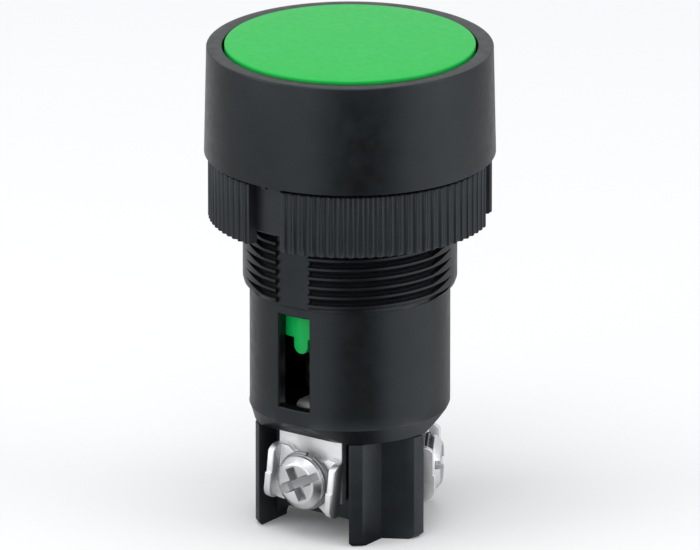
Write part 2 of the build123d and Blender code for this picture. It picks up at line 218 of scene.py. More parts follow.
# Screws
SLOT_TURNS = {"open": -27, "closed": 12, "common": 48}
SCREW_HEIGHT = -33.45
HEAD_RADIUS = 2.85
HEAD_RIM = 0.55
HEAD_BACK = 8.29
HEAD_FACE = 9.54
HEAD_FLAT_RADIUS = 2.1
HEAD_EDGES = (0, 0.1, 0.3, 0.35, 0)
HEAD_STEPS = 5
HEAD_SEGMENTS = 96
SHANK_RADIUS = 1.75
SHANK_END = 3.55
SHANK_CHAMFER = 0.25
SHANK_SEGMENTS = 32
SCREW_POLE = 0.0005
SCREW_WELD = 0.001
SCREW_FLAT_ANGLE = 0.5
SCREW_BEVEL = 0.07
SCREW_BEVEL_SEGMENTS = 3
SCREW_BEVEL_ANGLE = 40
SCREW_SHARP = 30
SLOT_WIDTH = 0.85
SLOT_DEPTH = 0.55
SLOT_MARGIN = 0.5
CROSS_WIDTH = 1.2
CROSS_LENGTH = 3.6
CROSS_DEPTH = 1.0
CROSS_STEP = 0.07
CROSS_FLOOR = 0.36
CROSS_RISE = 0.2
CROSS_FLARE = 0.1

# Washers
WASHER_RADIUS = 3.1
WASHER_BORE = 1.9
WASHER_NEAR = 7.76
WASHER_FAR = 8.26
WASHER_BORE_EDGE = 0.1
WASHER_RIM_EDGE = 0.14
WASHER_STEPS = 3
WASHER_SEGMENTS = 72
WASHER_SPLIT = 18.0
WASHER_SPLIT_TURN = 75
WASHER_SHARP = 40

# Springs, whose wire is given by its radius
SPRING_RADIUS = 2.2
SPRING_WIRE = 0.22
SPRING_STEPS = 32
SPRING_SIDES = 8
SPRING_SHARP = 50
RETURN_TURNS = 7
CONTACT_TURNS = 6

# Pieces that keep their CAD form
BASE_BEVEL = 0.14
PLUNGER_BEVEL = 0.12
PLATE_BEVEL = 0.08
CLAMP_BEVEL = 0.1
CLAMP_BEVEL_SEGMENTS = 3
CAD_WELD = 0.0008
CAD_FLAT_ANGLE = 0.8
CAD_BEVEL_ANGLE = 38
CAD_SHARP = 35

# Meshes
WELD = 0.0005
BOX_FACES = ((0, 1, 2, 3), (7, 6, 5, 4), (0, 4, 5, 1), (1, 5, 6, 2), (2, 6, 7, 3), (3, 7, 4, 0))


# Materials

def plain_material(name, colour, roughness, metallic=0.0):
    material = bpy.data.materials.new(name)
    material.use_nodes = True
    shader = material.node_tree.nodes["Principled BSDF"]
    shader.inputs["Base Color"].default_value = (*colour, 1)
    shader.inputs["Roughness"].default_value = roughness
    shader.inputs["Metallic"].default_value = metallic
    return material, shader


def noise_node(tree, scale, stretch):
    """Noise over the object's own coordinates, at a scale per metre."""
    coordinates = tree.nodes.new("ShaderNodeTexCoord")
    mapping = tree.nodes.new("ShaderNodeMapping")
    mapping.inputs["Scale"].default_value = stretch
    noise = tree.nodes.new("ShaderNodeTexNoise")
    noise.inputs["Scale"].default_value = scale
    noise.inputs["Detail"].default_value = NOISE_DETAIL
    tree.links.new(coordinates.outputs["Object"], mapping.inputs["Vector"])
    tree.links.new(mapping.outputs["Vector"], noise.inputs["Vector"])
    return noise


def vary_colour(tree, shader, dark, light, scale, stretch):
    noise = noise_node(tree, scale, stretch)
    ramp = tree.nodes.new("ShaderNodeValToRGB")
    ramp.color_ramp.elements[0].position = NOISE_LOW
    ramp.color_ramp.elements[1].position = NOISE_HIGH
    ramp.color_ramp.elements[0].color = (*dark, 1)
    ramp.color_ramp.elements[1].color = (*light, 1)
    tree.links.new(noise.outputs["Fac"], ramp.inputs["Fac"])
    tree.links.new(ramp.outputs["Color"], shader.inputs["Base Color"])


def vary_roughness(tree, shader, roughness, scale, stretch):
    noise = noise_node(tree, scale, stretch)
    span = tree.nodes.new("ShaderNodeMapRange")
    span.inputs["From Min"].default_value = NOISE_LOW
    span.inputs["From Max"].default_value = NOISE_HIGH
    span.inputs["To Min"].default_value = roughness - ROUGHNESS_DROP
    span.inputs["To Max"].default_value = roughness + ROUGHNESS_RISE
    tree.links.new(noise.outputs["Fac"], span.inputs["Value"])
    tree.links.new(span.outputs["Result"], shader.inputs["Roughness"])


def add_grain(tree, shader, scale, height, strength, stretch):
    """Fine relief from noise, with its height in millimetres."""
    noise = noise_node(tree, scale, stretch)
    bump = tree.nodes.new("ShaderNodeBump")
    bump.inputs["Strength"].default_value = strength
    bump.inputs["Distance"].default_value = height * MM
    tree.links.new(noise.outputs["Fac"], bump.inputs["Height"])
    tree.links.new(bump.outputs["Normal"], shader.inputs["Normal"])


def textured_material(name, dark, light, roughness, surface, metallic=0.0, stretch=EVEN):
    """Material with clouded colour, uneven roughness and a fine grain, and its shader."""
    material, shader = plain_material(name, light, roughness, metallic)
    tree = material.node_tree
    vary_colour(tree, shader, dark, light, surface["colour"], stretch)
    vary_roughness(tree, shader, roughness, surface["roughness"], stretch)
    add_grain(tree, shader, surface["grain"], surface["height"], surface["strength"], stretch)
    return material, shader


def black_plastic(name, dark, light, roughness):
    material, shader = textured_material(name, dark, light, roughness, MOULDED)
    shader.inputs["Specular Tint"].default_value = (*BLACK_TINT, 1)
    return material


def green_plastic(name, dark, light, roughness, specular):
    """Green plastic that lets a little light in."""
    material, shader = textured_material(name, dark, light, roughness, POLISHED)
    shader.inputs["Specular IOR Level"].default_value = specular
    shader.inputs["Subsurface Weight"].default_value = GLOW
    shader.inputs["Subsurface Radius"].default_value = GLOW_RADIUS
    shader.inputs["Subsurface Scale"].default_value = GLOW_DEPTH * MM
    return material


def metal(name, roughness, dark=(0.72, 0.725, 0.74), light=(0.78, 0.785, 0.795), stretch=EVEN):
    """Plated or rolled metal, whose fine lines run across the axis with the largest stretch."""
    return textured_material(name, dark, light, roughness, PLATED, 1.0, stretch)[0]


BLACK = black_plastic("black_moulding", (0.003, 0.0036, 0.0042), (0.006, 0.007, 0.0078), 0.35)
BASE_BLACK = black_plastic("black_base_moulding", (0.009, 0.0105, 0.012), (0.013, 0.015, 0.017), 0.42)
NUT_BLACK = black_plastic("black_nut_moulding", (0.009, 0.0105, 0.012), (0.013, 0.015, 0.017), 0.42)
RUBBER = black_plastic("black_rubber", (0.004, 0.004, 0.004), (0.008, 0.008, 0.008), 0.7)
CAP_GREEN = green_plastic("cap_green", (0.001, 0.48, 0.06), (0.003, 0.5, 0.066), 0.42, 0.38)
STEM_GREEN = green_plastic("stem_green", (0.0, 0.33, 0.06), (0.004, 0.39, 0.08), 0.32, 0.2)
PLATE_NICKEL = metal("plate_nickel", 0.58, (0.92, 0.925, 0.93), (0.97, 0.973, 0.976), (1, 1, 6))
CLAMP_NICKEL = metal("clamp_nickel", 0.46, (0.78, 0.785, 0.8), (0.84, 0.845, 0.855), (1, 1, 5))
SCREW_NICKEL = metal("screw_nickel", 0.3)
# Darker nickel on the screws' slot and cross recess faces: painted shade in the recesses
RECESS_SHADE_NICKEL = metal("recess_painted_shade", 0.42, (0.36, 0.365, 0.375), (0.46, 0.465, 0.475))
# Dark nickel of the spring washers: painted shade between the screw head and the plate
WASHER_SHADE_NICKEL = metal("washer_painted_shade", 0.32, (0.2, 0.205, 0.21), (0.28, 0.285, 0.29))
SPRING_STEEL = metal("spring_wire", 0.3)
SILVER = metal("silver_contact", 0.18)
COPPER_ALLOY = metal("contact_alloy", 0.3, (0.62, 0.38, 0.2), (0.75, 0.48, 0.27), (6, 1, 1))


# Mesh helpers

def node_box(node):
    """Lowest and highest corner of a CAD node, in millimetres."""
    low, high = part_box(node)
    return Vector(low) / MM, Vector(high) / MM


def polar(azimuth, radius, height):
    angle = radians(azimuth)
    return (radius * sin(angle), -radius * cos(angle), height)


def unit_limited(value):
    """Value kept between 0 and 1."""
    return min(max(value, 0.0), 1.0)


def ease(value):
    """Smooth step from 0 to 1."""
    value = unit_limited(value)
    return value * value * (3 - 2 * value)


def angle_between(azimuth, other, period=360):
    """Smallest turn between two azimuths, or between one and any repeat of the other."""
    half = period / 2
    return abs((azimuth - other + half) % period - half)


def new_mesh(name, points, faces):
    """Mesh in metres from points in millimetres."""
    mesh = bpy.data.meshes.new(name)
    mesh.from_pydata([Vector(point) * MM for point in points], [], faces)
    return mesh


def new_object(name, data):
    """Object in the scene, from its mesh, lamp or camera."""
    thing = bpy.data.objects.new(name, data)
    bpy.context.scene.collection.objects.link(thing)
    return thing


def clean(mesh, weld, flat_angle=None):
    """Join close points and turn faces out; also join flat faces up to an angle, or else drop slivers."""
    work = bmesh.new()
    work.from_mesh(mesh)
    bmesh.ops.remove_doubles(work, verts=work.verts, dist=weld * MM)
    if flat_angle is None:
        bmesh.ops.dissolve_degenerate(work, edges=work.edges, dist=weld * MM / 2)
    else:
        bmesh.ops.dissolve_limit(work, angle_limit=radians(flat_angle), verts=work.verts, edges=work.edges)
    bmesh.ops.recalc_face_normals(work, faces=work.faces)
    work.to_mesh(mesh)
    work.free()


def settle(thing):
    """Apply an object's modifiers to its mesh."""
    graph = bpy.context.evaluated_depsgraph_get()
    mesh = bpy.data.meshes.new_from_object(thing.evaluated_get(graph))
    thing.modifiers.clear()
    thing.data = mesh


def round_edges(thing, width, segments, angle):
    """Bevel the edges that are sharper than an angle."""
    bevel = thing.modifiers.new("edges", "BEVEL")
    bevel.width = width * MM
    bevel.segments = segments
    bevel.limit_method = "ANGLE"
    bevel.angle_limit = radians(angle)
    settle(thing)


def dress(thing, material, body, node, sharp, recess=None):
    """Shading, materials and place in the frame of a finished mesh."""
    mesh = thing.data
    indices = [polygon.material_index if recess else 0 for polygon in mesh.polygons]
    mesh.materials.clear()
    mesh.materials.append(material)
    # A second material gives the recess faces the darker nickel of painted shade
    if recess:
        mesh.materials.append(recess)
    for polygon, index in zip(mesh.polygons, indices):
        polygon.material_index = index
    mesh.shade_smooth()
    mesh.set_sharp_from_angle(angle=radians(sharp))
    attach(thing, body)
    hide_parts(node)
    return thing


def piece(name, points, faces, material, body, node, sharp, weld=WELD):
    """Finished object from points in millimetres, which rides on a body and stands for a CAD node."""
    mesh = new_mesh(name, points, faces)
    clean(mesh, weld)
    return dress(new_object(name, mesh), material, body, node, sharp)


def ring_mesh(columns, closed=True):
    """Points and quads of a grid whose columns are closed loops of points."""
    rows = len(columns[0])
    points = [point for column in columns for point in column]
    faces = []
    for j in range(len(columns) if closed else len(columns) - 1):
        k = (j + 1) % len(columns)
        for i in range(rows):
            n = (i + 1) % rows
            faces.append((j * rows + i, j * rows + n, k * rows + n, k * rows + i))
    return points, faces


def corner_arc(before, corner, after, radius, steps):
    """Points of a rounded corner in a (radius, height) profile."""
    to_before = (Vector(before) - Vector(corner)).normalized()
    to_after = (Vector(after) - Vector(corner)).normalized()
    half = to_before.angle(to_after) / 2
    centre = Vector(corner) + (to_before + to_after).normalized() * radius / sin(half)
    start = Vector(corner) + to_before * radius / tan(half) - centre
    end = Vector(corner) + to_after * radius / tan(half) - centre
    return [tuple(centre + start.slerp(end, step / steps) * radius) for step in range(steps + 1)]


def softened(points, radii, steps):
    """Closed profile with its corners rounded, where a radius is given."""
    outline = []
    for i, corner in enumerate(points):
        if radii[i]:
            outline += corner_arc(points[i - 1], corner, points[(i + 1) % len(points)], radii[i], steps)
        else:
            outline.append(corner)
    return outline


# Thread

def thread_fill(azimuth):
    """How far a thread valley is filled from below: 0 is open, and 1 is none left."""
    fill = 0.0
    for seam in SEAM_AZIMUTHS:
        away = angle_between(azimuth, seam)
        fill = max(fill, unit_limited((SEAM_HALF + SEAM_FADE - away) / SEAM_FADE))
    return fill


def thread_rows(azimuth, radius, depth, top, end, crest=THREAD_CREST, fill=0.0):
    """(radius, height) points down one line of a right-hand thread, kept between two heights."""
    gap = (PITCH - crest) * (1 - fill)
    cut = depth * ease(gap / THREAD_FADE_GAP)
    shelf = min(THREAD_SHELF, THREAD_SHELF_SHARE * gap)
    rows = []
    for turn in range(-1, ceil((top - end) / PITCH) + 1):
        edge = top + THREAD_PHASE - turn * PITCH + PITCH * azimuth / 360
        valley = edge - gap
        rows += [
            (radius, edge),
            (radius - THREAD_FLANK * cut, (edge + valley + shelf) / 2),
            (radius - cut, valley + 2 * shelf),
            (radius - cut, valley + shelf),
            (radius, valley),
            (radius, (valley + edge - PITCH) / 2),
        ]
    return [(reach, min(max(height, end), top)) for reach, height in rows]


# Housing

class Column:
    """One line of the housing's grid.

    It is placed by its azimuth from a terminal on the lower barrel, or by its offset from the keyway.
    """

    def __init__(self, terminal, local=0.0, hooded=False, offset=None, keyed=False):
        self.terminal = terminal
        self.local = local
        self.hooded = hooded
        self.offset = offset
        self.keyed = keyed

    def azimuth(self, radius):
        if self.offset is not None and radius > LOWER_RADIUS + WINDOW_EDGE:
            return KEYWAY_TURN + degrees(asin(self.offset / min(radius, BARREL_RADIUS)))
        if self.offset is not None:
            return WINDOW_TURN + degrees(asin(self.offset * WINDOW_HALF / KEYWAY_HALF / radius))
        edge = degrees(asin(HOOD_HALF / min(radius, LOWER_RADIUS)))
        away = abs(self.local)
        if away <= HOOD_EDGE_AZIMUTH:
            turn = away * edge / HOOD_EDGE_AZIMUTH
        else:
            beyond = away - HOOD_EDGE_AZIMUTH
            turn = edge + beyond * (SECTOR_HALF - edge) / (SECTOR_HALF - HOOD_EDGE_AZIMUTH)
        return self.terminal + (turn if self.local > 0 else -turn)

    def place(self, radius, height):
        return polar(self.azimuth(radius), radius, height)


def spread(start, end):
    """Evenly spaced azimuths from start up to but not including end."""
    count = max(1, round((end - start) / COLUMN_STEP))
    return [start + (end - start) * index / count for index in range(count)]


def housing_columns():
    """Lines round the housing, doubled at the hoods' edges and at the keyway's walls."""
    columns = []
    key_start = WINDOW_TURN - degrees(asin(KEYWAY_OUTER / LOWER_RADIUS)) - COLUMN_STEP / 2
    key_end = KEYWAY_TURN + degrees(asin(KEYWAY_OUTER / BARREL_RADIUS)) + COLUMN_STEP / 2
    for terminal in TERMINALS.values():
        columns += [Column(terminal, local) for local in spread(-SECTOR_HALF, -HOOD_EDGE_AZIMUTH)]
        columns.append(Column(terminal, -HOOD_EDGE_AZIMUTH))
        inside = spread(-HOOD_EDGE_AZIMUTH, HOOD_EDGE_AZIMUTH)
        if terminal == TERMINALS["open"]:
            columns += [Column(terminal, local, hooded=True) for local in inside if local < key_start]
            columns.append(Column(terminal, hooded=True, offset=-KEYWAY_OUTER))
            columns.append(Column(terminal, hooded=True, offset=-KEYWAY_HALF))
            for offset in KEYWAY_LINES:
                columns.append(Column(terminal, hooded=True, offset=offset, keyed=True))
            columns.append(Column(terminal, hooded=True, offset=KEYWAY_HALF))
            columns.append(Column(terminal, hooded=True, offset=KEYWAY_OUTER))
            columns += [Column(terminal, local, hooded=True) for local in inside if local > key_end]
        else:
            columns += [Column(terminal, local, hooded=True) for local in inside]
        columns.append(Column(terminal, HOOD_EDGE_AZIMUTH, hooded=True))
        columns += [Column(terminal, local) for local in spread(HOOD_EDGE_AZIMUTH, SECTOR_HALF)]
    return columns + [Column(TERMINALS["common"], SECTOR_HALF)]


def lower_radius_at(height):
    """Outside radius of the lower barrel and its taper."""
    share = unit_limited((TAPER_TOP - height) / (TAPER_TOP - BARREL_END))
    return LOWER_RADIUS + (TAPER_RADIUS - LOWER_RADIUS) * share


def hood_height(column, radius):
    """Height of the barrel's bottom along a column, which rises under a hood."""
    if not column.hooded:
        return BARREL_END
    distance = radius * cos(radians(column.azimuth(radius) - column.terminal))
    return BARREL_END + max(distance - HOOD_INSET, 0.0) * tan(radians(HOOD_ANGLE))


def hood_cut_height(column):
    """Height at which the barrel's bottom meets its outside, found by halving under a hood."""
    if not column.hooded:
        return BARREL_END
    low, high = BARREL_END, HOOD_SEARCH_TOP
    for _ in range(HOOD_SEARCH_STEPS):
        middle = (low + high) / 2
        if middle < hood_height(column, lower_radius_at(middle)):
            low = middle
        else:
            high = middle
    return high


def parting_depth(azimuth):
    """Depth of the fine mould line that runs down the barrel."""
    return PARTING_DEPTH if abs(azimuth - PARTING_AZIMUTH) < PARTING_HALF else 0.0


def barrel_envelope(height):
    """Largest radius of the threaded barrel at a height, with a chamfer of 45 degrees at its end."""
    return min(BARREL_RADIUS, LOWER_RADIUS + max(height - THREAD_END, 0.0))


def barrel_rows(column):
    """(radius, height) points down the threaded barrel."""
    azimuth = column.azimuth(BARREL_RADIUS)
    groove = parting_depth(azimuth)
    fill = thread_fill(azimuth)
    rows = []
    for radius, height in thread_rows(azimuth, BARREL_RADIUS, THREAD_DEPTH, 0.0, THREAD_END, fill=fill):
        reach = KEYWAY_FLOOR if column.keyed else radius - groove
        rows.append((min(reach, barrel_envelope(height)), height))
    return rows


def lower_rows(column):
    """(radius, height) points down the lower barrel, over its ridge and taper, and up the bore."""
    cut = hood_cut_height(column)
    ridge = RIDGE_HEIGHT * unit_limited((TAPER_TOP - cut) / HOOD_EDGE - 1)
    taper_row = max(TAPER_TOP - HOOD_EDGE, cut + HOOD_EDGE)
    inner = lower_radius_at(cut) - HOOD_EDGE
    crease = (inner + BORE_RADIUS) / 2
    if column.hooded:
        slant = cos(radians(column.azimuth(BORE_RADIUS) - column.terminal))
        crease = min(max(HOOD_INSET / slant, BORE_RADIUS), inner)
    return [
        (LOWER_RADIUS, WINDOW_TOP + WINDOW_EDGE),
        (LOWER_RADIUS, WINDOW_END - WINDOW_EDGE),
        (LOWER_RADIUS, max(TAPER_TOP + HOOD_EDGE, cut + 2 * HOOD_EDGE)),
        (LOWER_RADIUS + ridge, max(TAPER_TOP, cut + 1.5 * HOOD_EDGE)),
        (lower_radius_at(taper_row), taper_row),
        (lower_radius_at(cut + HOOD_EDGE), cut + HOOD_EDGE),
        (inner, hood_height(column, inner)),
        (crease, hood_height(column, crease)),
        (BORE_RADIUS, hood_height(column, BORE_RADIUS)),
        (BORE_RADIUS, WINDOW_END),
        (BORE_RADIUS, WINDOW_TOP),
    ]


def window_faces(points, columns, rows, window_row, bore_row):
    """Reveals of the window, between the gaps left in the outside and in the bore."""
    hole = [
        j for j, column in enumerate(columns)
        if column.offset is not None and abs(column.offset) <= KEYWAY_OUTER
    ]
    first, last = hole[0], hole[-1]
    ring = {}
    for j in hole:
        offset = max(-1.0, min(1.0, columns[j].offset / KEYWAY_HALF)) * WINDOW_HALF
        radius = LOWER_RADIUS - WINDOW_EDGE
        azimuth = WINDOW_TURN + degrees(asin(offset / radius))
        for side, height in (("top", WINDOW_TOP), ("end", WINDOW_END)):
            ring[side, j] = len(points)
            points.append(polar(azimuth, radius, height))
    faces = []
    for side, outer, inner in (("top", window_row, bore_row + 1), ("end", window_row + 1, bore_row)):
        for j in hole[:-1]:
            a, b = j * rows, (j + 1) * rows
            faces.append((a + outer, b + outer, ring[side, j + 1], ring[side, j]))
            faces.append((ring[side, j], ring[side, j + 1], b + inner, a + inner))
    for j in (first, last):
        a = j * rows
        faces.append((a + window_row, a + window_row + 1, ring["end", j], ring["top", j]))
        faces.append((ring["top", j], ring["end", j], a + bore_row, a + bore_row + 1))
    return faces, first, last


def pip_points(side, bezel_radius):
    """Corners of one grip pip under the bezel, on one side of the keyway's middle."""
    near = bezel_radius - PIP_INNER_INSET
    far = bezel_radius - PIP_OUTER_INSET
    middle = side * PIP_SPACING / 2
    turn = radians(KEYWAY_TURN)
    corners = []
    for height in (PIP_LOW, PIP_HIGH):
        for offset, distance in ((-PIP_HALF, near), (PIP_HALF, near), (PIP_HALF, far), (-PIP_HALF, far)):
            x, y = middle + offset, -distance
            corners.append((x * cos(turn) - y * sin(turn), x * sin(turn) + y * cos(turn), height))
    return corners


def make_housing():
    """Bezel, threaded barrel, lower barrel, bore and cup as one grid, with its window and grip pips."""
    high = node_box("housing")[1]
    bezel_radius = high.x
    top_radius = bezel_radius - BEZEL_DRAFT
    cup_radius = top_radius - RIM_WIDTH
    outside = softened(
        [(cup_radius, CUP_FLOOR), (cup_radius, high.z), (top_radius, high.z), (bezel_radius, 0),
         (BARREL_RADIUS, 0)],
        [0, RIM_EDGE, BEZEL_EDGE, BEZEL_FOOT_EDGE, 0],
        BEZEL_STEPS,
    )
    cup_rows = [(BORE_RADIUS, CUP_FLOOR), outside[0]]
    columns = housing_columns()
    loops = []
    for column in columns:
        profile = outside[1:-1] + barrel_rows(column) + lower_rows(column) + cup_rows
        loops.append([column.place(radius, height) for radius, height in profile])
    rows = len(loops[0])
    points, faces = ring_mesh(loops, closed=False)
    bore_row = rows - len(cup_rows) - 2
    window_row = bore_row - ROWS_WINDOW_TO_BORE
    reveal, first, last = window_faces(points, columns, rows, window_row, bore_row)
    gap = {(j, i) for j in range(first, last) for i in (window_row, bore_row)}
    faces = [face for n, face in enumerate(faces) if (n // rows, n % rows) not in gap]
    faces += reveal
    for side in (-1, 1):
        start = len(points)
        points += pip_points(side, bezel_radius)
        faces += [tuple(start + corner for corner in face) for face in BOX_FACES]
    piece("moulded_housing", points, faces, BLACK, "switch_body", "housing", HOUSING_SHARP)


# Lock nut

def nut_columns():
    """(azimuth, outside radius, whether in a notch) round the nut, doubled at the notches' walls."""
    pitch = 360 / FLUTE_COUNT
    crest = degrees(FLUTE_CREST / NUT_RADIUS)
    flute = [(0.0, 0.0), (crest, 0.0)]
    flute += [(crest + (pitch - crest) * share, sin(pi * share)**FLUTE_FULLNESS) for share in FLUTE_SHARES]
    columns = []
    for index in range(FLUTE_COUNT):
        start = NUT_TURN + pitch / 2 + index * pitch
        for turn, hollow in flute:
            notched = angle_between(start + turn, NUT_TURN, SECTOR) < NOTCH_HALF_ANGLE
            columns.append((start + turn, NUT_RADIUS - FLUTE_DEPTH * hollow, notched))
    first = (columns[0][0] + 360, *columns[0][1:])
    walled = []
    for here, after in zip(columns, columns[1:] + [first]):
        walled.append(here)
        if here[2] != after[2]:
            middle = (here[0] + after[0]) / 2
            walled.append((middle, here[1], here[2]))
            walled.append((middle, after[1], after[2]))
    return walled + [first]


def nut_column_points(azimuth, radius, notched, top, end):
    """One closed loop of the nut, which repeats a point in a notch, so that all loops have as many rows."""
    shelf = end + NUT_RECESS
    hub = NUT_HUB_RADIUS
    if notched:
        rows = [(hub - NUT_EDGE, top), (hub, top - NUT_EDGE)]
        rows += [(hub, shelf + NUT_EDGE)] * 5
        rows.append((hub - NUT_EDGE, shelf))
    else:
        rows = [(radius - NUT_EDGE, top), (radius, top - NUT_EDGE), (radius, end + NUT_EDGE)]
        rows += [(radius - NUT_EDGE, end), (hub + NUT_EDGE, end), (hub, end + NUT_EDGE)]
        rows += [(hub, shelf), (hub - NUT_EDGE, shelf)]
    mouth = NUT_BORE_RADIUS + NUT_GROOVE_DEPTH
    rows.append((mouth, shelf))
    grooves = thread_rows(azimuth, NUT_BORE_RADIUS, -NUT_GROOVE_DEPTH, top, shelf, crest=NUT_THREAD_CREST)
    rows += [(mouth if height in (top, shelf) else reach, height) for reach, height in reversed(grooves)]
    return [polar(azimuth, reach, height) for reach, height in rows]


def make_lock_nut():
    low, high = node_box("lock_nut")
    loops = [nut_column_points(*column, high.z, low.z) for column in nut_columns()]
    points, faces = ring_mesh(loops, closed=False)
    piece("fluted_lock_nut", points, faces, NUT_BLACK, "nut", "lock_nut", NUT_SHARP)


# Button cap

def make_cap():
    """Slightly domed cap with a skirt, turned about the axis."""
    low, high = node_box("button_cap")
    radius = high.x
    under = high.z - CAP_THICKNESS
    dome = [(CAP_POLE, high.z)]
    dome += [(radius * share, high.z - CAP_CROWN * share**2) for share in CAP_CROWN_SHARES]
    skirt = [
        (radius, high.z - CAP_CROWN),
        (radius, low.z),
        (radius - CAP_SKIRT, low.z),
        (radius - CAP_SKIRT, under),
        (CAP_POLE, under),
    ]
    edges = [0] * len(dome) + [CAP_EDGE, CAP_SKIRT_EDGE, CAP_SKIRT_EDGE, CAP_FILLET, 0]
    profile = softened(dome + skirt, edges, CAP_STEPS)
    loops = []
    for index in range(CAP_SEGMENTS):
        azimuth = 360 * index / CAP_SEGMENTS
        loops.append([polar(azimuth, reach, height) for reach, height in profile])
    points, faces = ring_mesh(loops)
    piece("green_button_cap", points, faces, CAP_GREEN, "button", "button_cap", CAP_SHARP,
          CAP_WELD)


# Pieces that keep their CAD form and get softened edges

def softened_copy(node, name, width, material, body, segments=2):
    """Copy of a CAD node with flat faces joined and its sharp edges rounded."""
    thing = new_object(name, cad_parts[node].data.copy())
    clean(thing.data, CAD_WELD, CAD_FLAT_ANGLE)
    round_edges(thing, width, segments, CAD_BEVEL_ANGLE)
    dress(thing, material, body, node, CAD_SHARP)


# Screws and washers

def terminal_place(kind, unit=1.0):
    """Matrix from a screw's own axis, which points to -Y, to its terminal."""
    turn = Matrix.Rotation(radians(TERMINALS[kind]), 4, "Z")
    return turn @ Matrix.Translation((0, 0, SCREW_HEIGHT * unit))


def turned_to_front(profile, segments):
    """Grid of a (reach, distance) profile turned about the axis towards -Y."""
    loops = []
    for n in range(segments):
        angle = 2 * pi * n / segments
        loops.append([(reach * cos(angle), -distance, reach * sin(angle)) for reach, distance in profile])
    return ring_mesh(loops)


def solid(name, points, faces, material_index=0):
    """Bare object for a boolean, whose faces are nickel or, at index 1, darker nickel as painted shade."""
    mesh = new_mesh(name, points, faces)
    for material in (SCREW_NICKEL, RECESS_SHADE_NICKEL):
        mesh.materials.append(material)
    for polygon in mesh.polygons:
        polygon.material_index = material_index
    clean(mesh, WELD)
    return new_object(name, mesh)


def cut(thing, cutters):
    """Cut other objects out of one object, and remove them."""
    for cutter in cutters:
        change = thing.modifiers.new(cutter.name, "BOOLEAN")
        change.operation = "DIFFERENCE"
        change.solver = "EXACT"
        change.object = cutter
    settle(thing)
    for cutter in cutters:
        bpy.data.objects.remove(cutter)


def join(thing, other):
    """Put another object's mesh into an object, and remove the other."""
    work = bmesh.new()
    work.from_mesh(thing.data)
    work.from_mesh(other.data)
    work.to_mesh(thing.data)
    work.free()
    bpy.data.objects.remove(other)


def slot_cutter():
    """Box for the straight slot across the head."""
    reach = HEAD_RADIUS + SLOT_MARGIN
    near = HEAD_FACE - SLOT_DEPTH
    far = HEAD_FACE + SLOT_MARGIN
    corners = []
    for z in (-SLOT_WIDTH / 2, SLOT_WIDTH / 2):
        corners += [(x, -y, z) for x, y in ((-reach, near), (reach, near), (reach, far), (-reach, far))]
    # Index 1 gives the slot's faces the darker nickel of painted shade
    return solid("slot", corners, BOX_FACES, material_index=1)


def cross_cutters():
    """Tapered arms of the cross recess, with floors at two depths, so that no two faces coincide."""
    arms = []
    for turn, depth in ((0, CROSS_DEPTH), (90, CROSS_DEPTH - CROSS_STEP)):
        angle = radians(turn)
        corners = []
        for distance, long_half, half in (
            (HEAD_FACE + CROSS_RISE, CROSS_LENGTH / 2 + CROSS_FLARE, CROSS_WIDTH / 2),
            (HEAD_FACE - depth, CROSS_FLOOR * CROSS_LENGTH, CROSS_FLOOR * CROSS_WIDTH),
        ):
            for x, z in ((-long_half, -half), (long_half, -half), (long_half, half), (-long_half, half)):
                across = x * cos(angle) - z * sin(angle)
                up = x * sin(angle) + z * cos(angle)
                corners.append((across, -distance, up))
        # Index 1 gives the arms' faces the darker nickel of painted shade
        arms.append(solid(f"arm_{turn}", corners, BOX_FACES, material_index=1))
    return arms


def make_screw(kind):
    """Pan-head screw with a slot, a cross recess and a plain shank."""
    rim = HEAD_BACK + HEAD_RIM
    head = softened(
        [(SCREW_POLE, HEAD_BACK), (HEAD_RADIUS, HEAD_BACK), (HEAD_RADIUS, rim),
         (HEAD_FLAT_RADIUS, HEAD_FACE), (SCREW_POLE, HEAD_FACE)],
        HEAD_EDGES,
        HEAD_STEPS,
    )
    shank = [
        (SCREW_POLE, SHANK_END),
        (SHANK_RADIUS - SHANK_CHAMFER, SHANK_END),
        (SHANK_RADIUS, SHANK_END + SHANK_CHAMFER),
        (SHANK_RADIUS, HEAD_BACK),
        (SCREW_POLE, HEAD_BACK),
    ]
    screw = solid(f"{kind}_screw_head", *turned_to_front(head, HEAD_SEGMENTS))
    cut(screw, [slot_cutter()] + cross_cutters())
    clean(screw.data, SCREW_WELD, SCREW_FLAT_ANGLE)
    round_edges(screw, SCREW_BEVEL, SCREW_BEVEL_SEGMENTS, SCREW_BEVEL_ANGLE)
    join(screw, solid("shank", *turned_to_front(shank, SHANK_SEGMENTS)))
    slot_turn = Matrix.Rotation(radians(SLOT_TURNS[kind]), 4, "Y")
    screw.data.transform(terminal_place(kind, MM) @ slot_turn)
    dress(screw, SCREW_NICKEL, f"{kind}_fastener", f"{kind}_screw", SCREW_SHARP,
          RECESS_SHADE_NICKEL)


def make_washer(kind):
    """Split spring washer with a softened square section, darkened as painted shade by the screw head."""
    profile = softened(
        [(WASHER_BORE, WASHER_NEAR), (WASHER_RADIUS, WASHER_NEAR), (WASHER_RADIUS, WASHER_FAR),
         (WASHER_BORE, WASHER_FAR)],
        [WASHER_BORE_EDGE, WASHER_RIM_EDGE, WASHER_RIM_EDGE, WASHER_BORE_EDGE],
        WASHER_STEPS,
    )
    loops = []
    for n in range(WASHER_SEGMENTS + 1):
        turn = WASHER_SPLIT / 2 + (360 - WASHER_SPLIT) * n / WASHER_SEGMENTS + WASHER_SPLIT_TURN
        angle = radians(turn)
        loops.append([(reach * cos(angle), -distance, reach * sin(angle)) for reach, distance in profile])
    points, faces = ring_mesh(loops, closed=False)
    rows = len(profile)
    faces.append(tuple(range(rows)))
    faces.append(tuple(WASHER_SEGMENTS * rows + i for i in reversed(range(rows))))
    place = terminal_place(kind)
    piece(f"{kind}_spring_washer", [place @ Vector(point) for point in points], faces, WASHER_SHADE_NICKEL,
          f"{kind}_saddle", f"{kind}_washer", WASHER_SHARP)


# Springs

